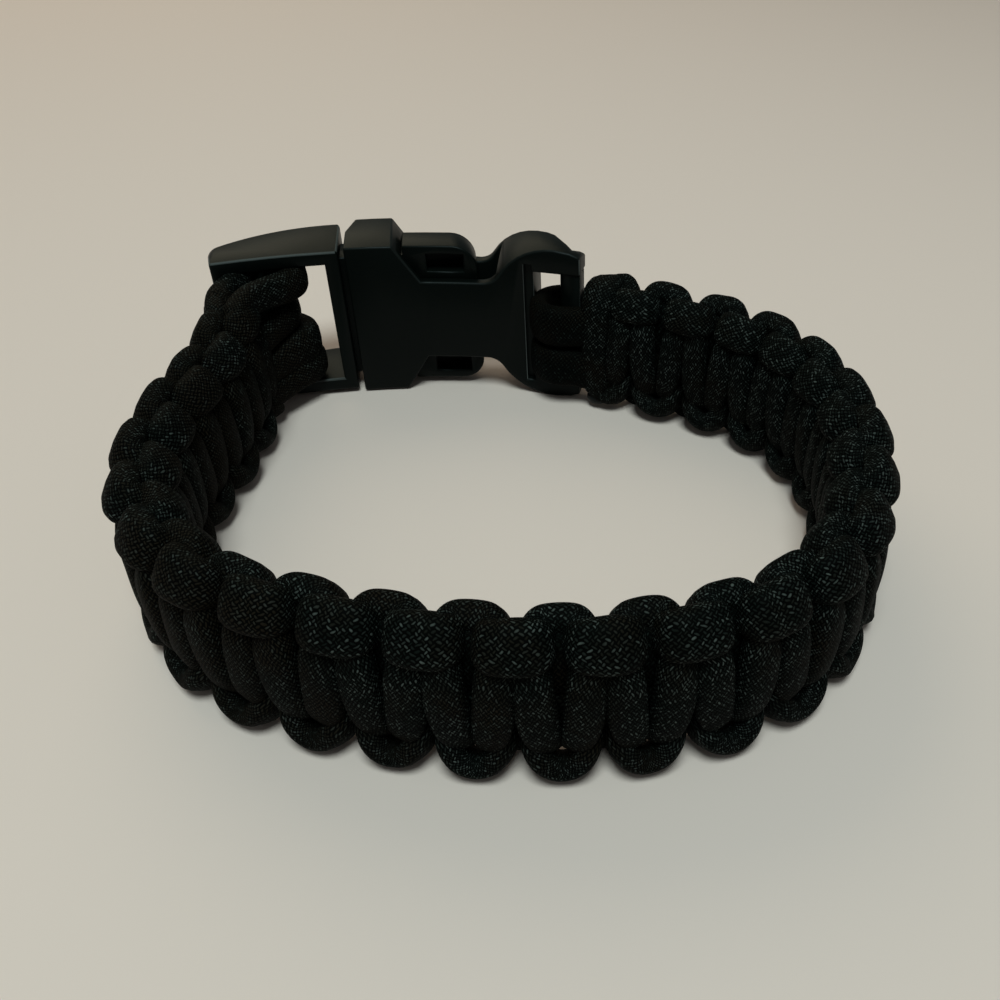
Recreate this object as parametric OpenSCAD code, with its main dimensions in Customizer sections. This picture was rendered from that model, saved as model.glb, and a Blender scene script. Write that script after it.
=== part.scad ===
// Paracord bracelet, closed and standing on its side edge: a cobra-knotted band whose ends wrap
// round the bars of a contoured side-release buckle. Z is the axis of the wrist opening, +Y points
// away from the front stretch of the band, and the buckle lies at the back left.

/* [Ring] */
// Mean radius of the ring in plan, which every share in the plan table follows
ring_r = 36; // [33:0.5:41]
// Height of the woven band across its edge loops
band_h = 18.7; // [17.5:0.1:20]
// Thickness of the woven band across its bars
band_t = 7; // [6.5:0.1:7.6]
// Bearing of the plug's bar from the middle of the ring, in degrees
plug_bearing = 141.4; // [138:0.2:145]

/* [Cord] */
// Thickness of the paracord where it is pulled tight
cord_d = 3.6; // [3.4:0.05:3.8]
// Length of band that one full knot takes
knot_pitch = 7.35; // [7:0.05:7.8]
// Depth of the creases between the bars of the weave
crease = 0.7; // [0.4:0.1:1]
// Depth of the notches between the edge loops
notch = 1.9; // [1.2:0.1:2.2]
// Gap between a cord and the bar or knot that it bears on
cord_gap = 0.1; // [0.05:0.01:0.2]

/* [Buckle] */
// Radius that the buckle's concave inner face is bent to
contour_r = 78; // [60:1:110]
// Distance from the middle of the cord bars in to the concave face
face_in = 1.5; // [1.4:0.1:2]
// Thickness of the buckle at its mouth
buckle_t = 9.4; // [8.8:0.1:10.4]
// Height of the socket's mouth collar
collar_h = 21.2; // [19.6:0.2:22.4]
// Height of the socket's rounded end
end_h = 21.8; // [20:0.2:23]
// Height of the socket's panel between its two side cut-outs
waist_h = 11.2; // [9.6:0.2:12.4]
// Length of the socket from its mouth to its end
socket_l = 31; // [30:0.1:33]
// Length of the mouth collar along its outer edge
collar_l = 6.1; // [5:0.1:7]
// Wall over and under the cavity that takes the plug
face_wall = 1.4; // [1.2:0.1:1.8]
// Depth of the cavity between its two walls
cavity_t = 5.2; // [4.6:0.1:5.4]
// Length of the plug's frame outside the mouth
plug_l = 16.7; // [15.5:0.1:17.5]
// Height of the plug's frame
plug_h = 20.4; // [19:0.2:22]
// Thickness of the frame's two side rails and of its base rail
rail_t = 1.8; // [1.4:0.1:2.4]
// Thickness of the two round bars that the cords turn on
bar_t = 2.6; // [2.2:0.1:2.8]
// Width of the bar across the plug's far end
end_bar_w = 1.4; // [1:0.1:2]
// Running gap between the plug and the socket
fit_gap = 0.3; // [0.2:0.05:0.5]
// Height of the slots that the cords pass through
slot_h = 15.2; // [14.4:0.2:16.4]

/* [Hidden] */
$fn = 48;
cord_black = [0.075, 0.08, 0.075];
buckle_black = [0.05, 0.055, 0.055];
big = 60;
hair = 0.01;

// Plan of the band's middle, as a closed curve through control rows of bearing in degrees and
// share of ring_r.
plan = [[96, 0.83], [120, 1.63], [142, 1.162], [161, 0.929], [181, 0.949], [204, 0.982],
        [228, 0.966], [253, 0.878], [278, 0.917], [302, 1.025], [324, 1.149], [346, 1.11],
        [368, 1.097], [391, 1.019], [413, 0.849], [434, 0.856]];
plan_steps = 14;

function spline(a, b, c, d, t) =
    (pow(1 - t, 3) * a + (3 * pow(t, 3) - 6 * t * t + 4) * b
     + (-3 * pow(t, 3) + 3 * t * t + 3 * t + 1) * c + pow(t, 3) * d) / 6;
function plan_row(i) =
    [plan[(i + len(plan)) % len(plan)][0] + 360 * floor(i / len(plan)),
     plan[(i + len(plan)) % len(plan)][1]];
function plan_at(q) =
    let (i = floor(q), t = q - i,
         row = spline(plan_row(i - 1), plan_row(i), plan_row(i + 1), plan_row(i + 2), t))
    ring_r * row[1] * [cos(row[0]), sin(row[0])];

// Buckle frame: x runs along the buckle from the mouth, y outwards, z up, bent round bend_r
bend_r = contour_r + face_in;
function bend_angle(s) = s / bend_r * 180 / PI;
function bent_point(s) = bend_r * [sin(bend_angle(s)), cos(bend_angle(s)) - 1];
mouth_gap = 0.8;
wrap_t = 3.2;
plug_bar_s = end_bar_w + bar_t / 2 + wrap_t + 0.5 - plug_l;
leave_s = plug_bar_s - bar_t / 2 - 1.2;
socket_bar_w = 2.9;
socket_bar_s = socket_l - socket_bar_w + bar_t / 2;
function arc(x, y, r, from, to, n) =
    [for (i = [0:n]) [x + r * cos(from + (to - from) * i / n), y + r * sin(from + (to - from) * i / n)]];
bar_chord = norm(bent_point(socket_bar_s) - bent_point(leave_s));

// The cords leave the plug on the plan curve at its bearing, and the socket's bar is one chord away
function bearing_of(p) = atan2(p[1], p[0]);
function seek_bearing(lo, hi, n) =
    let (mid = (lo + hi) / 2)
    n == 0 ? mid
    : bearing_of(plan_at(mid)) > plug_bearing ? seek_bearing(lo, mid, n - 1)
    : seek_bearing(mid, hi, n - 1);
seek_rounds = 24;
plug_q = seek_bearing(0, 4, seek_rounds);
plug_end = plan_at(plug_q);
function seek_chord(lo, hi, n) =
    let (mid = (lo + hi) / 2)
    n == 0 ? mid
    : norm(plan_at(mid) - plug_end) > bar_chord ? seek_chord(mid, hi, n - 1)
    : seek_chord(lo, mid, n - 1);
socket_q = seek_chord(len(plan) - 4, len(plan) + 1, seek_rounds);
socket_end = plan_at(socket_q);
buckle_turn = bearing_of(socket_end - plug_end)
              - bearing_of(bent_point(socket_bar_s) - bent_point(leave_s));

// Distances along the plan curve from the plug to the socket's bar
samples = ceil((socket_q - plug_q) * plan_steps);
function sample_at(i) = plan_at(plug_q + (socket_q - plug_q) * i / samples);
function step_len(i) = i == 0 ? 0 : norm(sample_at(i) - sample_at(i - 1));
run = [for (i = 0, d = 0; i <= samples; i = i + 1, d = d + (i > samples ? 0 : step_len(i))) d];
run_x = [for (i = [0:samples]) [run[i], sample_at(i)[0]]];
run_y = [for (i = [0:samples]) [run[i], sample_at(i)[1]]];
band_run = run[samples];
function path_at(s) = [lookup(s, run_x), lookup(s, run_y)];
probe = 1.6;
function heading_at(s) =
    let (a = path_at(max(0, s - probe)), b = path_at(min(band_run, s + probe))) (b - a) / norm(b - a);

// The band starts clear of the wraps on the plug's bar and ends short of the socket's bar
wrap_r = bar_t / 2 + cord_gap + wrap_t / 2;
inward_turn = bearing_of(heading_at(0)) - (buckle_turn - bend_angle(leave_s) - 90);
band_start = wrap_r + wrap_t / 2 + 0.35;
band_end_clear = socket_bar_w - bar_t / 2 + 1.8;
band_end = band_run - band_end_clear;
// Middle of the first outer top loop, from where the cords leave the plug
first_loop = 5.5;

// Cross-section of the band: u runs outwards and w up
loop_r = 0.47 * cord_d;
loop_u = band_t / 2 - loop_r - 0.13;
loop_w = band_h / 2 - loop_r;
half_turn = 0.5;
rings_per_knot = 8;
bar_rows = [-0.72, -0.24, 0.24, 0.72];
bar_half_w = loop_w - loop_r;
loop_fan = [-12, 28, 68, 108];
valley_drop = 1.3;
function turns_at(s) = (s - first_loop) / knot_pitch;
function from_middle(q) = q - round(q);
function loop_swell(q) = sqrt(max(0, 1 - pow(2 * from_middle(q), 2)));
function bar_swell(q) = sqrt(max(0, 1 - pow(2 * from_middle(2 * q), 2)));
function loop_points(su, sw, q) =
    let (g = notch * (1 - loop_swell(q)), fan = su * sw > 0 ? loop_fan : [for (i = [3:-1:0]) loop_fan[i]])
    [for (a = fan) [su * (loop_u - g * 0.6 + loop_r * cos(a)), sw * (loop_w - g + loop_r * sin(a))]];
function bar_points(su, q) =
    let (u = su * (band_t / 2 - crease * (1 - bar_swell(q + half_turn / 2))))
    [for (k = [0:3]) [u, su * bar_rows[k] * bar_half_w]];
function valley_point(sw) = [0, sw * (band_h / 2 - valley_drop)];
function section(q) = concat(
    bar_points(1, q),
    loop_points(1, 1, q), [valley_point(1)], loop_points(-1, 1, q + half_turn),
    bar_points(-1, q),
    loop_points(-1, -1, q), [valley_point(-1)], loop_points(1, -1, q + half_turn));

ring_count = ceil((band_end - band_start) / knot_pitch * rings_per_knot);
lean_len = 9;
// The first rings lean so that the band's end lies flat on the wraps
function lean(s, u) = u * tan(inward_turn) * max(0, 1 - (s - band_start) / lean_len);
function ring_points(i) =
    let (s = band_start + (band_end - band_start) * i / ring_count,
         h = heading_at(s), p = path_at(s))
    [for (c = section(turns_at(s)))
        let (shift = lean(s, c[0]))
        [p[0] + c[0] * h[1] + shift * h[0], p[1] - c[0] * h[0] + shift * h[1], c[1] + band_h / 2]];
section_n = len(section(0));
function ring_middle(i) =
    let (s = band_start + (band_end - band_start) * i / ring_count)
    [path_at(s)[0], path_at(s)[1], band_h / 2];
cap_n = section_n * (ring_count + 1);
band_points = concat([for (i = [0:ring_count]) each ring_points(i)],
                     [ring_middle(0), ring_middle(ring_count)]);
band_faces = concat(
    [for (i = [0:ring_count - 1], k = [0:section_n - 1], half = [0, 1])
        let (a = i * section_n + k, b = i * section_n + (k + 1) % section_n,
             c = a + section_n, d = b + section_n)
        half == 0 ? [a, b, c] : [b, d, c]],
    [for (k = [0:section_n - 1]) [(k + 1) % section_n, k, cap_n]],
    [for (k = [0:section_n - 1])
        [ring_count * section_n + k, ring_count * section_n + (k + 1) % section_n, cap_n + 1]]);

// Outer faces: arcs of smaller radius than the bend, so that both ends of the buckle thin out
outer_y = buckle_t - face_in;
socket_arc_r = 38;
socket_arc = [3, outer_y - socket_arc_r];
plug_arc_r = 24;
plug_arc = [-mouth_gap, outer_y - 0.4 - plug_arc_r];

// Middle of the part's box in plan, between the farthest points of the band and the buckle
function to_plan(p) =
    let (d = p - bent_point(leave_s))
    plug_end + [d[0] * cos(buckle_turn) - d[1] * sin(buckle_turn),
                d[0] * sin(buckle_turn) + d[1] * cos(buckle_turn)];
plug_ray = [-sin(bend_angle(plug_l)), cos(bend_angle(plug_l))];
ray_from = [0, -bend_r] - plug_arc;
ray_len = sqrt(pow(ray_from * plug_ray, 2) - ray_from * ray_from + pow(plug_arc_r, 2))
          - ray_from * plug_ray;
plug_corner = to_plan([0, -bend_r] + ray_len * plug_ray);
box_x = [min(plug_corner[0], min([for (p = band_points) p[0]])),
         max([for (p = band_points) p[0]])];
box_y = [min([for (p = band_points) p[1]]), to_plan(socket_arc)[1] + socket_arc_r];

module in_place() {
    translate([-(box_x[0] + box_x[1]) / 2, -(box_y[0] + box_y[1]) / 2, 0]) children();
}

module knotted_band() {
    color(cord_black) in_place()
        polyhedron(band_points, band_faces, convexity = 10);
}

// Places a shape of the buckle's frame on the ring, at the height where the socket's end rests
module on_buckle() {
    start = bent_point(leave_s);
    in_place()
        translate([plug_end[0], plug_end[1], end_h / 2])
            rotate([0, 0, buckle_turn])
                translate([-start[0], -start[1], 0])
                    children();
}

// Slides a shape along the bend by s
module along(s) {
    translate([0, -bend_r, 0])
        rotate([0, 0, -bend_angle(s)])
            translate([0, bend_r, 0])
                children();
}

// Block that follows the bend: from s0 to s1, from y0 out to y1, h high about the middle
module bent(s0, s1, y0, y1, h) {
    translate([0, -bend_r, -h / 2])
        rotate([0, 0, 90 - bend_angle(s1)])
            rotate_extrude(angle = bend_angle(s1 - s0), $fn = 96)
                translate([bend_r + y0, 0])
                    square([y1 - y0, h]);
}

// Section of a wrap: the cord's thickness t across and height h, round at its top and bottom
module cord_section(t, h) {
    if (h > t) {
        square([t, h - t], center = true);
        for (side = [-1, 1])
            translate([0, side * (h - t) / 2])
                circle(d = t);
    } else circle(d = t);
}

// Half turn of cord round a bar's edge at the origin, open towards +x
module cord_turn(r, t, h) {
    rotate([0, 0, 90])
        rotate_extrude(angle = 180)
            translate([r, 0])
                cord_section(t, h);
}

module cord_leg(l, t, h) {
    rotate([90, 0, 90])
        linear_extrude(l)
            cord_section(t, h);
}

// One of the four wraps on the plug's bar: a closed turn of cord, pressed a little flat
wrap_step = cord_d + 2 * cord_gap;
wrap_lift = 0.4;
module plug_wrap(row) {
    color(cord_black) on_buckle() along(plug_bar_s)
        translate([0, 0, wrap_lift + wrap_step * (1.5 - row)])
            rotate_extrude()
                translate([wrap_r, 0])
                    cord_section(wrap_t, cord_d);
}
module plug_wrap_1() { plug_wrap(0); }
module plug_wrap_2() { plug_wrap(1); }
module plug_wrap_3() { plug_wrap(2); }
module plug_wrap_4() { plug_wrap(3); }

// One of the two flattened hairpins of core cord round the socket's bar
hairpin_t = 3;
hairpin_h = 5.4;
hairpin_r = bar_t / 2 + cord_gap + hairpin_t / 2;
// The legs stop short of the band's end, which is turned a little against the buckle
leg_clear = 0.55;
hairpin_leg = band_end_clear - cord_gap - leg_clear;
hairpin_off = 3.45;
hairpin_drop = 0.65;
module socket_wrap(side) {
    color(cord_black) on_buckle() along(socket_bar_s)
        translate([0, 0, side * hairpin_off - hairpin_drop]) {
            cord_turn(hairpin_r, hairpin_t, hairpin_h);
            for (face = [-1, 1])
                translate([0, face * hairpin_r, 0])
                    cord_leg(hairpin_leg, hairpin_t, hairpin_h);
        }
}
module socket_wrap_upper() { socket_wrap(1); }
module socket_wrap_lower() { socket_wrap(-1); }

module outer_arc(middle, r) {
    translate([middle[0], middle[1], 0])
        cylinder(r = r, h = big, center = true, $fn = 160);
}

// The cavity and what runs in it
cavity_y0 = -face_in + face_wall;
cavity_y1 = cavity_y0 + cavity_t;
cavity_l = 19.4;
cavity_h = collar_h - 3.4;
cut_slant = 3.2;
end_r = 8;
end_x = socket_l - 4.6;
end_z = end_h / 2 - end_r;
fillet_r = 2.5;
fillet_z = waist_h / 2 + fillet_r;
fillet_x = end_x - sqrt(pow(end_r + fillet_r, 2) - pow(fillet_z - end_z, 2));
fillet_turn = atan2(end_z - fillet_z, end_x - fillet_x);

// Outline of the socket seen from inside the ring: collar, slanting cut, waist and rounded end
half_outline = concat(
    [[-1, collar_h / 2], [collar_l, collar_h / 2], [collar_l + cut_slant, waist_h / 2]],
    arc(fillet_x, fillet_z, fillet_r, -90, fillet_turn, 6),
    arc(end_x, end_z, end_r, 180 + fillet_turn, 90, 7), arc(end_x, end_z, end_r, 75, 0, 6));
outline_n = len(half_outline);
module socket_outline() {
    polygon([for (i = [0:2 * outline_n - 1])
        i < outline_n ? half_outline[i]
        : [half_outline[2 * outline_n - 1 - i][0], -half_outline[2 * outline_n - 1 - i][1]]]);
}

panel_l = 23.4;
panel_step = 0.9;
slot_start = 24.5;
recess_h = slot_h + 2;
mouth_chamfer_s = 1.2;
mouth_chamfer_y = 4;
end_ease = 0.7;
// Wedge that eases the outer edge of the mouth, on the socket's side or the plug's
module mouth_wedge(side) {
    linear_extrude(big, center = true)
        polygon([[-side, outer_y - mouth_chamfer_y], [0, outer_y - mouth_chamfer_y],
                 [side * mouth_chamfer_s, outer_y + hair], [side * mouth_chamfer_s, outer_y + 2],
                 [-side, outer_y + 2]]);
}

module buckle_socket() {
    color(buckle_black) on_buckle() difference() {
        union() {
            difference() {
                intersection() {
                    bent(0, socket_l, -face_in, outer_y + 2, end_h + 2);
                    outer_arc(socket_arc, socket_arc_r);
                    rotate([90, 0, 0])
                        linear_extrude(big, center = true)
                            socket_outline();
                }
                bent(slot_start, socket_l + 1, -face_in - 1, outer_y + 2, slot_h);
            }
            along(socket_bar_s) {
                cylinder(d = bar_t, h = slot_h + 2, center = true);
                translate([0, -bar_t / 2, -slot_h / 2 - 1])
                    cube([socket_bar_w - bar_t / 2, bar_t, slot_h + 2]);
            }
        }
        bent(-1, cavity_l, cavity_y0, cavity_y1, cavity_h);
        bent(panel_l, slot_start + hair, -face_in - 1, -face_in + panel_step, recess_h);
        mouth_wedge(1);
        along(socket_l)
            rotate([0, 0, 45])
                translate([-end_ease, bar_t / 2, -big / 2])
                    cube([big, big, big]);
    }
}

// Plug: ladder frame, neck in the mouth, two latch arms with thumb grips, and a tongue
neck_l = 3;
neck_h = cavity_h - 2 * fit_gap;
arm_y0 = cavity_y0 + fit_gap;
arm_y1 = cavity_y1 - fit_gap;
arm_t = 2.4;
grip_x = collar_l + 1.2;
grip_h = 19.8;
grip_w = 5;
grip_r = 3.2;
grip_l = 9.6;
grip_back_z = grip_h / 2 - grip_w;
tongue_h = 4;
tongue_l = 16;
pocket_l = 4.8;
pocket_h = 2.4;
pocket_deep = 1.3;
pocket_x = grip_x + 3;
pocket_z = 7.5;

// Outline of the plug's frame, with its far corners rounded
corner_r = 1.2;
module frame_outline() {
    far = -ray_len * sin(bend_angle(plug_l));
    polygon(concat(
        [[0, -plug_h], [0, plug_h], [far + corner_r, plug_h]],
        arc(far + corner_r, plug_h / 2 - corner_r, corner_r, 90, 180, 6),
        arc(far + corner_r, corner_r - plug_h / 2, corner_r, 180, 270, 6),
        [[far + corner_r, -plug_h]]));
}

// Outline of the neck, the latch arms and their grips, one half and then its mirror image
neck_x = -mouth_gap - rail_t / 2;
half_arms = concat(
    [[neck_x, neck_h / 2], [grip_x, neck_h / 2], [grip_x, grip_h / 2]],
    arc(grip_x + grip_l - grip_r, grip_h / 2 - grip_r, grip_r, 90, 0, 8),
    [[grip_x + grip_l, grip_back_z], [grip_x, grip_back_z], [grip_x, neck_h / 2 - arm_t],
     [neck_l, neck_h / 2 - arm_t]]);
arms_n = len(half_arms);
module arms_outline() {
    polygon([for (i = [0:2 * arms_n - 1])
        i < arms_n ? half_arms[i]
        : [half_arms[2 * arms_n - 1 - i][0], -half_arms[2 * arms_n - 1 - i][1]]]);
}

module buckle_plug() {
    color(buckle_black) on_buckle() {
        difference() {
            intersection() {
                bent(-plug_l, -mouth_gap, -face_in, outer_y + 2, plug_h);
                outer_arc(plug_arc, plug_arc_r);
                rotate([90, 0, 0])
                    linear_extrude(big, center = true)
                        frame_outline();
            }
            bent(-plug_l + end_bar_w, -mouth_gap - rail_t, -face_in - 1, outer_y + 3,
                 plug_h - 2 * rail_t);
            mouth_wedge(-1);
        }
        along(plug_bar_s)
            cylinder(d = bar_t, h = plug_h - rail_t, center = true);
        bent(-mouth_gap - rail_t / 2, tongue_l, arm_y0 + 1, arm_y1 - 1, tongue_h);
        difference() {
            intersection() {
                bent(neck_x - 1, grip_x + grip_l + 1, arm_y0, arm_y1, grip_h + 1);
                rotate([90, 0, 0])
                    linear_extrude(big, center = true)
                        arms_outline();
            }
            for (side = [-1, 1])
                translate([pocket_x, arm_y0 + pocket_deep - big / 2, side * pocket_z - pocket_h / 2])
                    cube([pocket_l, big / 2, pocket_h]);
        }
    }
}

knotted_band();
plug_wrap_1();
plug_wrap_2();
plug_wrap_3();
plug_wrap_4();
socket_wrap_upper();
socket_wrap_lower();
buckle_plug();
buckle_socket();
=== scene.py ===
import math
import random

import bmesh
import bpy
from mathutils import Matrix, Vector


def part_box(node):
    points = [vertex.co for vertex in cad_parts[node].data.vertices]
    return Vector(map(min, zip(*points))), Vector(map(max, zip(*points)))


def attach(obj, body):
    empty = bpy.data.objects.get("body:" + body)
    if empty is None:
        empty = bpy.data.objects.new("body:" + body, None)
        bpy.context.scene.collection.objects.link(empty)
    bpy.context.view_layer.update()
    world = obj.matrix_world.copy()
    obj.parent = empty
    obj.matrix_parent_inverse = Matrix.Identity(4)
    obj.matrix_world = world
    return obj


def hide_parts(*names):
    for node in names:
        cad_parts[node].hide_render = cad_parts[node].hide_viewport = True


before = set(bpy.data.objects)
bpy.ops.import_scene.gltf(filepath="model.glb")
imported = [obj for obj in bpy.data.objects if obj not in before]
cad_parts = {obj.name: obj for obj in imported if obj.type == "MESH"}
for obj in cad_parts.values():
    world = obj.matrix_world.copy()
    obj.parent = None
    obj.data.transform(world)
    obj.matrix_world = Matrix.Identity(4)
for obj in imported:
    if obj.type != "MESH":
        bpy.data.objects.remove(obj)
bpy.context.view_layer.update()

# Lengths below are in millimetres, and every mesh is written in metres
MM = 0.001
draw = random.Random(24)

# Plan of the band's middle: bearings in degrees and shares of the ring's radius
RING_R = 36.0
PLAN = [(96, 0.83), (120, 1.63), (142, 1.162), (161, 0.929), (181, 0.949), (204, 0.982),
        (228, 0.966), (253, 0.878), (278, 0.917), (302, 1.025), (324, 1.149), (346, 1.11),
        (368, 1.097), (391, 1.019), (413, 0.849), (434, 0.856)]
PLUG_BEARING = 141.4
BAND_RUN = 187.86
BAND_MID_Z = 9.35
# Distance between the points kept along the plan, and the reach over which a heading is taken
SAMPLE = 0.25
PROBE = 1.6

# The buckle's bend and its two bars, and how far behind the plug's bar the band's run starts
BEND_R = 79.5
BUCKLE_Z = 10.9
PLUG_BAR_S = -10.3
SOCKET_BAR_S = 29.4
BUCKLE_TURN = math.radians(9.524)
LEAVE = 2.5


# The band's middle line

def cubic_blend(rows, i, t):
    """Point of a uniform cubic spline through rows of numbers, t of the way from row i on."""
    weights = ((1 - t) ** 3 / 6, (3 * t ** 3 - 6 * t ** 2 + 4) / 6,
               (-3 * t ** 3 + 3 * t ** 2 + 3 * t + 1) / 6, t ** 3 / 6)
    four = rows[i - 1:i + 3]
    return [sum(w * row[k] for w, row in zip(weights, four)) for k in range(len(rows[0]))]


def plan_at(q):
    """Point of the closed plan curve; a whole step of q is one row of PLAN."""
    n = len(PLAN)
    i = math.floor(q)
    rows = [(PLAN[j % n][0] + 360 * (j // n), PLAN[j % n][1]) for j in range(i - 1, i + 3)]
    bearing, share = cubic_blend(rows, 1, q - i)
    angle = math.radians(bearing)
    return Vector((math.cos(angle), math.sin(angle), 0)) * (share * RING_R)


def plan_start():
    """Place on the plan curve at the plug's bearing, found by halving its first four steps."""
    low, high = 0.0, 4.0
    for _ in range(30):
        q = (low + high) / 2
        p = plan_at(q)
        if math.degrees(math.atan2(p.y, p.x)) > PLUG_BEARING:
            high = q
        else:
            low = q
    return q


def walk_plan():
    """Points along the band's middle, SAMPLE apart, from the plug's bearing on."""
    q = plan_start()
    points = [plan_at(q)]
    while len(points) * SAMPLE < BAND_RUN + 1:
        step = 0.02
        while (plan_at(q + step) - points[-1]).length < SAMPLE:
            step *= 1.2
        reach = (plan_at(q + step) - points[-1]).length
        q += step * SAMPLE / reach
        points.append(plan_at(q))
    return points


def bent_point(s):
    """Point of the buckle's bend, s along it from the mouth."""
    angle = s / BEND_R
    return Vector((BEND_R * math.sin(angle), BEND_R * math.cos(angle) - BEND_R, 0))


def on_buckle(s):
    """Point in the part's frame at run s along the buckle's middle."""
    turned = Matrix.Rotation(BUCKLE_TURN, 3, "Z") @ (bent_point(s) - bent_point(PLUG_BAR_S))
    return plug_bar + turned + Vector((0, 0, BUCKLE_Z))


# The wraps round the plug's bar tell where the plan lies in the part's frame
wrap_low, wrap_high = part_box("plug_wrap_1")
plug_bar = (Vector(wrap_low) + Vector(wrap_high)) / 2 / MM
plug_bar.z = 0
leave_point = plug_bar + Matrix.Rotation(BUCKLE_TURN, 3, "Z") @ (
    bent_point(PLUG_BAR_S - LEAVE) - bent_point(PLUG_BAR_S))
line = walk_plan()
shift = leave_point - line[0]


def line_at(s):
    """Point of the band's middle at run s, carried straight on past either end."""
    i = min(max(math.floor(s / SAMPLE), 0), len(line) - 2)
    return line[i].lerp(line[i + 1], s / SAMPLE - i) + shift


def heading_at(s):
    """Direction along the band at run s."""
    a, b = max(0.0, s - PROBE), min(BAND_RUN, s + PROBE)
    return (line_at(b) - line_at(a)).normalized()


def outward_at(s):
    """Direction away from the ring's middle at run s."""
    heading = heading_at(s)
    return Vector((heading.y, -heading.x, 0))


def on_band(s, out, up):
    """Point in the part's frame for a place in the band: along, outwards and up from its middle."""
    point = line_at(s) + outward_at(s) * out
    point.z = BAND_MID_Z + up
    return point


def band_direction(s, along, out, up):
    """Direction in the part's frame for one in the band at run s."""
    vector = heading_at(s) * along + outward_at(s) * out
    vector.z = up
    return vector


# Cords

# Sides of a cord's section and how square it is, its girth, and the run of its rounded tips
SIDES = 16
SQUARE = 3.0
CORD_ROUND = 11.5
TIP_RUN = 1.3
# Stations closer than this are left out, and points closer than the other merge along the seam
LEAST_STEP = 0.05
SEAM = 0.0005


def add_piece(name, bm, material, slot, *nodes):
    """Makes a mesh object of a bmesh in millimetres, rides it on the part and stands it for nodes."""
    bmesh.ops.scale(bm, vec=(MM, MM, MM), verts=bm.verts)
    mesh = bpy.data.meshes.new(name)
    bm.to_mesh(mesh)
    bm.free()
    piece = bpy.data.objects.new(name, mesh)
    bpy.context.collection.objects.link(piece)
    mesh.materials.append(material)
    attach(piece, "root")
    if nodes:
        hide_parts(*nodes)
    return piece


def soft_corner(turn):
    """Place on a round of unit half width, squarer than a circle, one of SIDES steps round it."""
    angle = 2 * math.pi * turn / SIDES
    c, s = math.cos(angle), math.sin(angle)
    return math.copysign(abs(c) ** (2 / SQUARE), c), math.copysign(abs(s) ** (2 / SQUARE), s)


def girth_shares():
    """Share of the girth covered at each step round a cord, which is half as wide again as thick."""
    corners = [soft_corner(turn) for turn in range(SIDES + 1)]
    covered = [0.0]
    for (c, s), (c_next, s_next) in zip(corners, corners[1:]):
        covered.append(covered[-1] + math.hypot(1.5 * (c_next - c), s_next - s))
    return [part / covered[-1] for part in covered]


def cord_stations(rows, steps):
    """Places along the spline that a cord's rows guide, each laid out like a row."""
    flat = [[*point, *thin, wide, deep] for point, thin, wide, deep in rows]
    flat = [flat[0]] * 2 + flat + [flat[-1]] * 2
    spans = [(i, k / steps) for i in range(1, len(flat) - 2) for k in range(steps)]
    stations = []
    for i, t in spans + [(len(flat) - 3, 1.0)]:
        numbers = cubic_blend(flat, i, t)
        centre = Vector(numbers[0:3])
        if not stations or (centre - stations[-1][0]).length > LEAST_STEP:
            stations.append((centre, Vector(numbers[3:6]), numbers[6], numbers[7]))
    return stations


def runs_along(points):
    """Length from the first point to each one."""
    runs = [0.0]
    for here, there in zip(points, points[1:]):
        runs.append(runs[-1] + (there - here).length)
    return runs


def cord_axes(stations, runs):
    """Half width and half thickness as vectors at each station, closing to nothing at both ends."""
    last = len(stations) - 1
    axes = []
    for i, (_, thin, wide, deep) in enumerate(stations):
        tangent = (stations[min(i + 1, last)][0] - stations[max(i - 1, 0)][0]).normalized()
        thin = (thin - tangent * thin.dot(tangent)).normalized()
        from_end = min(runs[i], runs[-1] - runs[i])
        close = math.sqrt(max(0.0, 1 - (1 - min(1.0, from_end / TIP_RUN)) ** 2))
        axes.append((tangent.cross(thin) * wide * close, thin * deep * close))
    return axes


def add_cord(bm, rows, steps=4):
    """Sweeps a soft-cornered oval through rows of (point, thin direction, half width, half thickness).

    The tube is a grid rolled up: its seam is merged and both ends close in a rounded tip."""
    stations = cord_stations(rows, steps)
    centres = [station[0] for station in stations]
    runs = runs_along(centres)
    covers = runs_along([centre + thin.normalized() * deep for centre, thin, _, deep in stations])
    axes = cord_axes(stations, runs)
    girths = girth_shares()
    count = len(stations) - 1
    layer = bm.loops.layers.uv.get("cord") or bm.loops.layers.uv.new("cord")
    old = set(bm.verts)
    made = bmesh.ops.create_grid(bm, x_segments=count, y_segments=SIDES, size=1.0)
    verts = [v for v in made["verts"] if v not in old]
    place = {v: (round((v.co.x + 1) / 2 * count), round((v.co.y + 1) / 2 * SIDES)) for v in verts}
    for face in {f for v in verts for f in v.link_faces}:
        face.smooth = True
        for loop in face.loops:
            i, turn = place[loop.vert]
            loop[layer].uv = (covers[i] / CORD_ROUND, girths[turn])
    for v, (i, turn) in place.items():
        c, s = soft_corner(turn)
        wide, deep = axes[i]
        v.co = centres[i] + wide * c + deep * s
    bmesh.ops.remove_doubles(bm, verts=verts, dist=SEAM)
    bmesh.ops.recalc_face_normals(bm, faces=bm.faces)


# The weave

# Pitch of the knots, the first loop's run, and the level of the band's edge above its middle
PITCH = 7.35
HALF = PITCH / 2
FIRST_LOOP = 5.5
KNOTS = 24
EDGE_UP = 7.4

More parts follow.
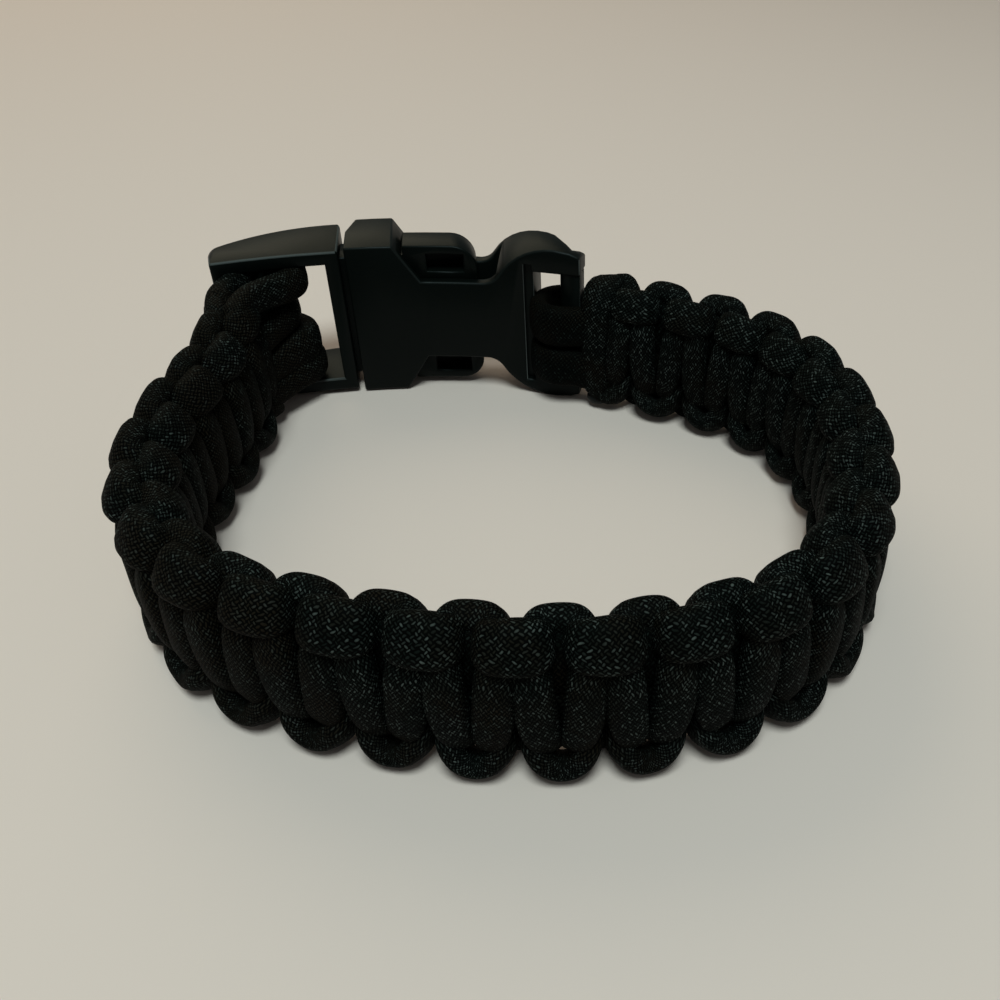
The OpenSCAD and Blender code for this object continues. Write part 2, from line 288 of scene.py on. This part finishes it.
# Half a knot, from the middle of an edge turn to the middle of the bar: run from the turn, outwards
# on the bar's face, towards the edge, the thin direction along, outwards and towards the edge, half
# width and half thickness. The turns along the top lie flat and the ones along the bottom hang.
# LEAN sets the two bars below one top turn further apart than the two that meet in a bottom turn.
LEAN = 0.13
TOP_TURN = [
    (0.0, -1.7, 7.15, 0, -0.85, 0.52, 2.3, 1.45),
    (0.95, -1.66, 7.14, 0, -0.85, 0.52, 2.3, 1.45),
    (1.7, -1.5, 7.05, 0.3, -0.8, 0.5, 2.25, 1.45),
    (2.15, -0.85, 6.7, 0.85, -0.45, 0.35, 2.0, 1.35),
    (2.35, 0.0, 6.1, 1, 0, 0.1, 1.6, 1.2),
    (2.35, 0.8, 5.4, 0.8, 0.4, 0.1, 1.5, 1.2),
    (2.25, 1.6, 4.6, 0.3, 0.9, 0, 1.55, 1.3),
    (2.12, 2.1, 3.3, 0, 1, 0, 1.62, 1.35),
    (2.05, 2.18, 1.6, 0, 1, 0, 1.68, 1.35),
    (HALF / 2 + LEAN, 2.2, 0.0, 0, 1, 0, 1.72, 1.35),
]
BOTTOM_TURN = [
    (0.0, -1.8, 7.7, 0, -0.55, 0.8, 1.9, 1.2),
    (1.1, -1.8, 7.3, 0.4, -0.5, 0.75, 1.9, 1.2),
    (1.95, -1.75, 6.4, 0.8, -0.4, 0.4, 1.85, 1.2),
    (2.5, -1.45, 5.3, 0.95, -0.25, 0, 1.75, 1.15),
    (2.65, -0.6, 4.9, 0.9, 0.2, 0.1, 1.5, 1.05),
    (2.75, 0.3, 5.3, 0.7, 0.6, 0.2, 1.2, 1.0),
    (2.7, 1.0, 5.4, 0.4, 0.9, 0.3, 1.15, 1.05),
    (2.4, 1.65, 4.4, 0.15, 1, 0.2, 1.4, 1.25),
    (2.05, 2.08, 3.0, 0, 1, 0, 1.62, 1.35),
    (1.85, 2.18, 1.4, 0, 1, 0, 1.7, 1.35),
    (HALF / 2 - LEAN, 2.2, 0.0, 0, 1, 0, 1.72, 1.35),
]
HALF_KNOT_ROWS = len(TOP_TURN) + len(BOTTOM_TURN) - 1
# Rows that the front cord's end goes without, so that it stops before its last edge turn
FRONT_END_ROWS = 5

# Near the plug the band's upper edge climbs by START_RISE over RISE_RUN
START_RISE, RISE_RUN = 3.0, 18.0
# Strands spread on the ring's outer side and crowd on its inner side, where they also lie lower
SPREAD = 1 / 32
INNER_DROP = 0.25
# How one half knot differs from the next: moved along, raised and swollen
WOBBLE = (-0.12, 0.12)
LIFT = (-0.1, 0.08)
SWELL = (0.97, 1.04)

# The back cord's end: run, outwards and up, the thin direction, half width and half thickness.
# It goes over the top edge beside the socket, down the inner face and stops in a melted tip.
LAST_STRAND = [
    (182.7, 1.2, 7.6, 0.2, 0.5, 0.85, 2.4, 1.4),
    (183.0, 0.0, 7.8, 0.1, 0, 1, 2.4, 1.4),
    (183.1, -1.5, 7.0, 0, -0.7, 0.7, 2.4, 1.35),
    (183.4, -2.3, 5.2, 0, -1, 0.2, 1.9, 1.35),
    (183.4, -2.4, 2.0, 0, -1, 0, 1.85, 1.35),
    (183.3, -2.4, -2.0, 0, -1, 0, 1.8, 1.35),
    (183.2, -2.3, -5.5, 0, -1, 0, 1.75, 1.35),
    (183.1, -2.1, -7.4, 0, -1, 0, 1.6, 1.3),
]
# Level of the melted tip, and its half lengths along, outwards and up
TIP_UP = -7.8
TIP_SHAPE = (1.5, 1.25, 1.0)

# The core cords: where they start, the step and number of their rows, level, half width and thickness
CORE_START, CORE_STEP, CORE_ROWS = 4.0, 2.95, 62
CORE_UP, CORE_WIDE, CORE_DEEP = 3.5, 3.7, 0.9


def rise_at(s, up):
    """How much a place at level up is raised at run s, on the climb to the level of the plug's bar."""
    return START_RISE * max(0.0, 1 - max(s, 0.0) / RISE_RUN) ** 1.5 * max(0.0, up) / EDGE_UP


def half_knot(middle, face, edge):
    """Rows of a cord from an edge turn, along the bar on the given face, to the next turn."""
    wobble = draw.uniform(*WOBBLE)
    lift = draw.uniform(*LIFT)
    swell = draw.uniform(*SWELL)
    rows = []
    for way in (1, -1):
        here = edge * way
        table = TOP_TURN if here > 0 else BOTTOM_TURN
        for s, out, up, thin_along, thin_out, thin_up, wide, deep in table[::way]:
            run = middle + (s if way > 0 else HALF - s) + wobble * (1 - s / HALF)
            level = here * up + lift * up / EDGE_UP
            level += rise_at(run, level)
            if here * face > 0:
                level += INNER_DROP * min(0.0, out)
            thin = (way * thin_along, face * thin_out, here * thin_up)
            wide_here = wide * swell * (1 + SPREAD * face * out)
            rows.append((on_band(run, face * out, level), band_direction(run, *thin),
                         wide_here, deep * swell))
    return rows[:-1]


def knotting_rows(face, first):
    """Rows of one cord through all its half knots, with the first turn at edge first."""
    rows = []
    for i in range(2 * KNOTS + 1):
        rows += half_knot(FIRST_LOOP + i * HALF, face, first if i % 2 == 0 else -first)
    return rows


def build_knotting_cords(material):
    """Two cords that cross by turns; the back one leaves its last half knot for the melted end."""
    bm = bmesh.new()
    add_cord(bm, knotting_rows(1, -1)[:-FRONT_END_ROWS])
    add_piece("front_knotting_cord", bm, material, "cord", "knotted_band")
    bm = bmesh.new()
    rows = knotting_rows(-1, 1)[:-HALF_KNOT_ROWS]
    rows += [(on_band(*row[:3]), band_direction(row[0], *row[3:6]), *row[6:]) for row in LAST_STRAND]
    add_cord(bm, rows)
    add_piece("back_knotting_cord", bm, material, "cord", "knotted_band")


def build_core(material):
    """Two flat cords, one above the other, that the knots close round."""
    bm = bmesh.new()
    for side in (-1, 1):
        rows = []
        for i in range(CORE_ROWS):
            s = CORE_START + i * CORE_STEP
            rows.append((on_band(s, 0, CORE_UP * side), band_direction(s, 0, 1, 0), CORE_WIDE, CORE_DEEP))
        add_cord(bm, rows, steps=2)
    add_piece("core_cords", bm, material, "cord", "knotted_band")


def build_melted_end(material):
    """The lump in which the back cord's end is melted shut."""
    bm = bmesh.new()
    run, out = LAST_STRAND[-1][:2]
    turned = Matrix.Rotation(math.atan2(*heading_at(run).yx), 3, "Z")
    for v in bmesh.ops.create_icosphere(bm, subdivisions=3, radius=1.0)["verts"]:
        shaped = Vector([part * half for part, half in zip(v.co, TIP_SHAPE)])
        v.co = on_band(run, out, TIP_UP) + turned @ shaped
    for f in bm.faces:
        f.smooth = True
    add_piece("melted_cord_end", bm, material, "cord")


# Strands round the buckle's bars

# A strand's turn: its radius, the angle off the band where it starts, how far it goes, and its steps
WRAP_R = 3.0
WRAP_START, WRAP_TURN, WRAP_STEPS = 62, 236, 8

# Round the plug's bar: level there and in the band, slack towards the mouth, half width at the bar
PLUG_STRANDS = [
    (6.5, 7.3, 0.8, 1.95),
    (1.9, 2.2, -1.0, 1.9),
    (-2.5, -1.7, 1.1, 2.45),
    (-5.8, -5.2, 1.4, 2.0),
]
PLUG_DEEP = 1.6
# Round the socket's bar: the solid's name, level at the bar and in the band
SOCKET_STRANDS = [("socket_wrap_upper", 1.15, 2.6), ("socket_wrap_lower", -4.9, -4.3)]
SOCKET_SLACK, SOCKET_WIDE, SOCKET_DEEP = 1.5, 2.75, 1.3

# Legs inside the band, run and outwards from deep inside to its end, with half width and thickness
PLUG_LEG = [(11.0, 0.7), (8.5, 1.3), (6.3, 1.8)]
PLUG_LEG_SIZE = (1.8, 1.35)
SOCKET_LEG = [(BAND_RUN - 9.0, 0.9), (BAND_RUN - 6.5, 1.4), (BAND_RUN - 4.5, 2.0)]
SOCKET_LEG_SIZE = (2.6, 1.25)


def leg_pair(places, up, wide, deep):
    """Rows of a strand's two legs, one on each side of the band's middle."""
    return [[(on_band(s, side * out, up + rise_at(s, up)), band_direction(s, 0, side, 0), wide, deep)
             for s, out in places] for side in (1, -1)]


def strand_round_bar(bar, level, slack, legs, wide, deep):
    """Rows of a strand that comes in along one leg, turns round the bar and leaves by the other."""
    mouth = (on_buckle(0) - bar).normalized()
    middle = (legs[0][-1][0] + legs[1][-1][0]) / 2
    away = Vector((middle.x - bar.x, middle.y - bar.y, 0)).normalized()
    side = Vector((away.y, -away.x, 0))
    if (legs[0][-1][0] - legs[1][-1][0]).dot(side) < 0:
        legs = (legs[1], legs[0])
    turn = []
    for k in range(WRAP_STEPS + 1):
        angle = math.radians(WRAP_START + WRAP_TURN * k / WRAP_STEPS)
        spoke = away * math.cos(angle) + side * math.sin(angle)
        reach = WRAP_R + slack * max(0.0, spoke.dot(mouth))
        turn.append((Vector((bar.x, bar.y, BUCKLE_Z + level)) + spoke * reach, spoke, wide, deep))
    return legs[0] + turn + list(reversed(legs[1]))


def build_strand(name, material, rows):
    """One strand of cord in place of the solid of that name."""
    bm = bmesh.new()
    add_cord(bm, rows)
    add_piece(name + "_cord", bm, material, "cord", name)


def build_plug_wraps(material):
    """Each strand comes out of the band, goes round the plug's bar and back in."""
    bar = on_buckle(PLUG_BAR_S)
    for number, (level, in_band, slack, wide) in enumerate(PLUG_STRANDS, 1):
        legs = leg_pair(PLUG_LEG, in_band, *PLUG_LEG_SIZE)
        rows = strand_round_bar(bar, level, slack, legs, wide, PLUG_DEEP)
        build_strand(f"plug_wrap_{number}", material, rows)


def build_socket_wraps(material):
    """Two flattened strands come out of the band and turn round the socket's bar."""
    bar = on_buckle(SOCKET_BAR_S)
    for name, level, in_band in SOCKET_STRANDS:
        legs = leg_pair(SOCKET_LEG, in_band, *SOCKET_LEG_SIZE)
        rows = strand_round_bar(bar, level, SOCKET_SLACK, legs, SOCKET_WIDE, SOCKET_DEEP)
        build_strand(name, material, rows)


# Materials

# Braid cells along a run of CORD_ROUND and round the cord
CELLS_ALONG, CELLS_AROUND = 21.0, 24.0
# Half lengths of a yarn's float across its cell, long one way and short the other
FLOAT_LONG, FLOAT_SHORT = 0.62, 0.28
# How many cells the braid strays, how rare the yarns with a painted highlight are, and how much of it an
# unlit one still shows
STRAY, RARITY, UNLIT = 1.3, 3.5, 0.06
# Painted shade in the braid's grooves, unlit yarn in cool patches, and unlit yarn in brownish patches and
# under the painted warm light towards -X
GROOVE_SHADE = (0.0002, 0.0004, 0.0003, 1)
COOL_YARN = (0.0009, 0.0024, 0.0018, 1)
BROWN_YARN_AND_WARM_LIGHT = (0.0105, 0.0075, 0.0045, 1)
# The patches' noise, the pull towards -X that paints warm window light on that side, where the two turn
# the yarn brownish, and the painted highlight lost there
PATCH_SCALE, WARM_LIGHT_PULL = 160, 3.0
BROWN_FROM, BROWN_TO = 0.42, 0.68
BROWN_AND_WARM_LIGHT_DULL = 0.7
# The painted highlight on lit yarns outside, and a dimmer one, painted shade, for the core cords and the
# stretched core cords that turn round the socket's bar
GLINT = (0.072, 0.085, 0.078, 1)
SHADED_GLINT = (0.014, 0.019, 0.017, 1)
# The moulded plastic, and the painted highlight on its rounded edges
PLASTIC = (0.002, 0.0031, 0.0026, 1)
PLASTIC_EDGE_HIGHLIGHT = (0.09, 0.097, 0.094, 1)


def new_group(name, inputs, outputs):
    """Node group with named float or vector inputs and outputs."""
    group = bpy.data.node_groups.new(name, "ShaderNodeTree")
    for label, kind in inputs:
        group.interface.new_socket(label, in_out="INPUT", socket_type=kind)
    for label, kind in outputs:
        group.interface.new_socket(label, in_out="OUTPUT", socket_type=kind)
    return group


class Wiring:
    """Shorthand for adding nodes to a tree and joining them."""

    def __init__(self, tree):
        self.tree = tree

    def node(self, kind, **settings):
        made = self.tree.nodes.new(kind)
        for key, value in settings.items():
            setattr(made, key, value)
        return made

    def join(self, source, target):
        self.tree.links.new(source, target)

    def math(self, operation, a, b=0.0, c=0.0):
        made = self.node("ShaderNodeMath", operation=operation)
        for socket, value in zip(made.inputs, (a, b, c)):
            if isinstance(value, (int, float)):
                socket.default_value = value
            else:
                self.join(value, socket)
        return made.outputs[0]


def braided_sheath_group():
    """Diamond braid: each cell is one yarn's float, leaning by turns to one side or the other. Height
    shapes the floats; Glint masks the floats that get a painted highlight.
    """
    group = new_group("braided_sheath",
                      [("Cord UV", "NodeSocketVector"), ("Along", "NodeSocketFloat"),
                       ("Around", "NodeSocketFloat")],
                      [("Height", "NodeSocketFloat"), ("Glint", "NodeSocketFloat")])
    w = Wiring(group)
    given = w.node("NodeGroupInput")
    out = w.node("NodeGroupOutput")
    split = w.node("ShaderNodeSeparateXYZ")
    w.join(given.outputs["Cord UV"], split.inputs[0])
    along = w.math("MULTIPLY", split.outputs[0], given.outputs["Along"])
    around = w.math("MULTIPLY", split.outputs[1], given.outputs["Around"])
    stray = w.node("ShaderNodeTexNoise", noise_dimensions="2D")
    stray.inputs["Scale"].default_value = 9
    w.join(given.outputs["Cord UV"], stray.inputs["Vector"])
    along = w.math("MULTIPLY_ADD", stray.outputs[0], STRAY, along)
    right = w.math("ADD", along, around)
    left = w.math("SUBTRACT", along, around)
    cell_r, cell_l = w.math("FLOOR", right), w.math("FLOOR", left)
    x = w.math("SUBTRACT", w.math("FRACT", right), 0.5)
    y = w.math("SUBTRACT", w.math("FRACT", left), 0.5)
    parity = w.math("MODULO", w.math("ABSOLUTE", w.math("ADD", cell_r, cell_l)), 2.0)
    reach = w.math("MULTIPLY_ADD", parity, FLOAT_SHORT - FLOAT_LONG, FLOAT_LONG)
    other = w.math("MULTIPLY_ADD", parity, FLOAT_LONG - FLOAT_SHORT, FLOAT_SHORT)
    px = w.math("POWER", w.math("DIVIDE", w.math("ABSOLUTE", x), reach), 2.0)
    py = w.math("POWER", w.math("DIVIDE", w.math("ABSOLUTE", y), other), 2.0)
    grain = w.math("MAXIMUM", w.math("SUBTRACT", 1.0, w.math("ADD", px, py)), 0.0)
    cell = w.node("ShaderNodeCombineXYZ")
    w.join(cell_r, cell.inputs[0])
    w.join(cell_l, cell.inputs[1])
    chance = w.node("ShaderNodeTexWhiteNoise", noise_dimensions="2D")
    w.join(cell.outputs[0], chance.inputs["Vector"])
    lit = w.math("MULTIPLY_ADD", w.math("POWER", chance.outputs["Value"], RARITY), 1 - UNLIT, UNLIT)
    w.join(w.math("POWER", grain, 0.5), out.inputs["Height"])
    w.join(w.math("MULTIPLY", grain, lit), out.inputs["Glint"])
    return group


def new_material(name):
    """Material with its wiring and its own shader."""
    material = bpy.data.materials.new(name)
    material.use_nodes = True
    w = Wiring(material.node_tree)
    shader = material.node_tree.nodes["Principled BSDF"]
    return material, w, shader


def mix_colours(w, factor, first, second):
    """Colour between two, each a constant or a node's output."""
    made = w.node("ShaderNodeMix", data_type="RGBA")
    w.join(factor, made.inputs["Factor"])
    for socket, value in ((made.inputs[6], first), (made.inputs[7], second)):
        if isinstance(value, tuple):
            socket.default_value = value
        else:
            w.join(value, socket)
    return made.outputs[2]


def add_bump(w, shader, height, strength, distance):
    """Bends the shader's normal by a height, with the distance in metres."""
    bump = w.node("ShaderNodeBump")
    bump.inputs["Strength"].default_value = strength
    bump.inputs["Distance"].default_value = distance
    w.join(height, bump.inputs["Height"])
    w.join(bump.outputs[0], shader.inputs["Normal"])


def add_noise(w, scale):
    """Noise over the part's own frame, and that frame's coordinates."""
    where = w.node("ShaderNodeTexCoord")
    noise = w.node("ShaderNodeTexNoise", noise_dimensions="3D")
    w.join(where.outputs["Object"], noise.inputs["Vector"])
    noise.inputs["Scale"].default_value = scale
    noise.inputs["Detail"].default_value = 2
    return noise.outputs[0], where.outputs["Object"]


def paracord(name, sheath, glint):
    """Black cord with painted highlights in the glint colour on its lit yarns and painted shade in the
    braid's grooves; browner and duller towards -X, by brownish patches and painted warm light.
    """
    material, w, shader = new_material(name)
    uv = w.node("ShaderNodeUVMap", uv_map="cord")
    braid = w.node("ShaderNodeGroup")
    braid.node_tree = sheath
    braid.inputs["Along"].default_value = CELLS_ALONG
    braid.inputs["Around"].default_value = CELLS_AROUND
    w.join(uv.outputs[0], braid.inputs["Cord UV"])
    patches, where = add_noise(w, PATCH_SCALE)
    side = w.node("ShaderNodeSeparateXYZ")
    w.join(where, side.inputs[0])
    # Painted warm light: towards -X the yarn turns brownish and loses painted highlights, on top of
    # brownish patches at random
    brown_and_warm_light = w.node("ShaderNodeMapRange")
    w.join(w.math("MULTIPLY_ADD", side.outputs[0], -WARM_LIGHT_PULL, patches), brown_and_warm_light.inputs[0])
    brown_and_warm_light.inputs[1].default_value = BROWN_FROM
    brown_and_warm_light.inputs[2].default_value = BROWN_TO
    yarn = mix_colours(w, brown_and_warm_light.outputs[0], COOL_YARN, BROWN_YARN_AND_WARM_LIGHT)
    # Painted shade: the yarn darkens into the grooves between its floats
    base = mix_colours(w, braid.outputs["Height"], GROOVE_SHADE, yarn)
    dull = w.math("MULTIPLY_ADD", brown_and_warm_light.outputs[0], -BROWN_AND_WARM_LIGHT_DULL, 1.0)
    # Painted highlights: the glint colour laid over the lit yarn floats
    colour = mix_colours(w, w.math("MULTIPLY", braid.outputs["Glint"], dull), base, glint)
    w.join(colour, shader.inputs["Base Color"])
    shader.inputs["Roughness"].default_value = 0.7
    shader.inputs["Specular IOR Level"].default_value = 0.03
    add_bump(w, shader, braid.outputs["Height"], 0.8, 0.00008)
    return material


def melted_nylon():
    """Dark, slightly glossy lump of melted cord."""
    material, _, shader = new_material("melted_nylon")
    shader.inputs["Base Color"].default_value = (0.006, 0.007, 0.007, 1)
    shader.inputs["Roughness"].default_value = 0.45
    shader.inputs["Specular IOR Level"].default_value = 0.1
    return material


def moulded_plastic():
    """Satin black with a fine grain; the UV map "edge" says how strong a painted highlight is on each
    rounded edge.
    """
    material, w, shader = new_material("moulded_black_plastic")
    grain, _ = add_noise(w, 4200)
    add_bump(w, shader, grain, 0.25, 0.00004)
    marks = w.node("ShaderNodeUVMap", uv_map="edge")
    split = w.node("ShaderNodeSeparateXYZ")
    w.join(marks.outputs[0], split.inputs[0])
    # Painted highlight: lighter colour on the marked roundings
    w.join(mix_colours(w, split.outputs[0], PLASTIC, PLASTIC_EDGE_HIGHLIGHT), shader.inputs["Base Color"])
    shader.inputs["Roughness"].default_value = 0.4
    shader.inputs["Specular IOR Level"].default_value = 0.088
    shader.inputs["Specular Tint"].default_value = (0.88, 0.97, 1, 1)
    return material


# The buckle, with its moulded edges rounded

# Points within SHORT of each other merge, faces within FLAT of one plane join, convex edges past
# SHARP are rounded, and the shading breaks past CREASE
EDGE_ROUND = 0.24
SHORT = 0.1
FLAT = math.radians(2)
SHARP = math.radians(35)
CREASE = math.radians(40)
# How strong the painted highlight is on roundings: on top of the plug's rail, on top of the socket, at
# its slot
RAIL_LIGHT, TOP_LIGHT, SLOT_LIGHT = 0.5, 0.05, 1.0


def edge_light(face, node):
    """How strong the painted highlight on a rounding is; the slot's highlighted edge is upright and faces
    the front.
    """
    upper = face.normal.z > 0.2
    if node == "buckle_plug":
        on_rail = face.calc_center_median().x < on_buckle(0).x - 1
        return RAIL_LIGHT if upper and on_rail else 0.0
    if upper:
        return TOP_LIGHT
    facing = face.normal.x > 0.3 and face.normal.y < -0.3 and abs(face.normal.z) < 0.2
    return SLOT_LIGHT if facing else 0.0


def build_buckle(material):
    """The solids' own shapes with rounded edges; a UV map holds how strong the painted highlight on them
    is.
    """
    for node in ("buckle_plug", "buckle_socket"):
        bm = bmesh.new()
        bm.from_mesh(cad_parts[node].data)
        bmesh.ops.scale(bm, vec=(1 / MM, 1 / MM, 1 / MM), verts=bm.verts)
        bmesh.ops.remove_doubles(bm, verts=bm.verts, dist=SHORT)
        bmesh.ops.dissolve_limit(bm, angle_limit=FLAT, verts=bm.verts, edges=bm.edges)
        sharp = [e for e in bm.edges if e.is_convex and e.calc_face_angle() > SHARP]
        rounded = bmesh.ops.bevel(bm, geom=sharp, offset=EDGE_ROUND, offset_type="OFFSET", segments=2,
                                  profile=0.5, affect="EDGES", clamp_overlap=False, material=-1)
        layer = bm.loops.layers.uv.new("edge")
        shares = {f: edge_light(f, node) for f in rounded["faces"]}
        for f in bm.faces:
            f.smooth = True
            for loop in f.loops:
                loop[layer].uv = (shares.get(f, 0.0), 0.0)
        piece = add_piece(node + "_moulding", bm, material, "buckle", node)
        piece.data.set_sharp_from_angle(angle=CREASE)


# Floor, lights and camera

# Half the floor's side, in metres
FLOOR_HALF = 1.2

# The photograph's camera, in millimetres and degrees of the plan's frame: its distance from the
# point it aims at, its tilt, that point's X and Z, and its roll. The focal length is a share of
# the picture's width, and so is the place of the lens's axis across it.
REACH = 114.057
TILT = math.radians(38.531)
AIM_X, AIM_Z = 13.298, 4.089
ROLL = math.radians(-0.98)
FOCAL_SHARE = 0.985523
MIDDLE_SHARE = 0.608645
SENSOR = 36


def build_stage():
    """A plain pale floor under the bracelet."""
    bm = bmesh.new()
    bmesh.ops.create_grid(bm, x_segments=1, y_segments=1, size=FLOOR_HALF)
    mesh = bpy.data.meshes.new("floor")
    bm.to_mesh(mesh)
    bm.free()
    floor = bpy.data.objects.new("floor", mesh)
    bpy.context.collection.objects.link(floor)
    material, _, shader = new_material("pale_floor")
    shader.inputs["Base Color"].default_value = (0.74, 0.6, 0.55, 1)
    shader.inputs["Roughness"].default_value = 0.8
    mesh.materials.append(material)


def add_softbox(name, place, size, power, colour):
    """Round soft light that shines on the bracelet's middle, with place and size in metres."""
    light = bpy.data.lights.new(name, "AREA")
    light.color = colour
    light.shape = "DISK"
    light.size = size
    light.energy = power
    holder = bpy.data.objects.new(name, light)
    bpy.context.collection.objects.link(holder)
    holder.location = place
    holder.rotation_mode = "QUATERNION"
    toward = Vector((0, 0, 0.01)) - Vector(place)
    holder.rotation_quaternion = toward.to_track_quat("-Z", "Y")


def light_scene():
    """A warm window behind on the left, a cool room light above the front, and dim surroundings."""
    add_softbox("window", (-0.25, 0.42, 0.42), 0.6, 1.08, (1, 0.9, 0.65))
    add_softbox("room", (0.02, -0.24, 0.6), 0.24, 2.8, (0.8, 1, 0.98))
    world = bpy.data.worlds.new("studio")
    bpy.context.scene.world = world
    world.use_nodes = True
    background = world.node_tree.nodes["Background"]
    background.inputs[0].default_value = (0.5, 0.56, 0.545, 1)
    background.inputs[1].default_value = 0.27


def build_camera():
    """The camera as it stood for the photograph."""
    place = shift + Vector((AIM_X, -REACH * math.cos(TILT), AIM_Z + REACH * math.sin(TILT)))
    look = Vector((0, math.cos(TILT), -math.sin(TILT)))
    right = Vector((1, 0, 0))
    up = right.cross(look)
    right, up = (right * math.cos(ROLL) - up * math.sin(ROLL),
                 right * math.sin(ROLL) + up * math.cos(ROLL))
    lens = bpy.data.cameras.new("camera")
    camera = bpy.data.objects.new("camera", lens)
    bpy.context.collection.objects.link(camera)
    turned = Matrix((right, up, -look)).transposed().to_4x4()
    camera.matrix_world = Matrix.Translation(place * MM) @ turned
    lens.sensor_width = SENSOR
    lens.lens = SENSOR * FOCAL_SHARE
    lens.shift_x = 0.5 - MIDDLE_SHARE
    lens.clip_start = 0.005
    lens.clip_end = 20
    bpy.context.scene.camera = camera


build_camera()
build_stage()
light_scene()
bpy.context.scene.view_settings.view_transform = "Standard"

sheath_group = braided_sheath_group()
cord_material = paracord("black_paracord", sheath_group, GLINT)
# A copy of the cord with dimmer highlights: painted shade on the core cords between the knots and on the
# strands round the socket's bar
shaded_cord_material = paracord("paracord_with_painted_shade", sheath_group, SHADED_GLINT)
build_knotting_cords(cord_material)
build_core(shaded_cord_material)
build_melted_end(melted_nylon())
build_plug_wraps(cord_material)
build_socket_wraps(shaded_cord_material)
build_buckle(moulded_plastic())
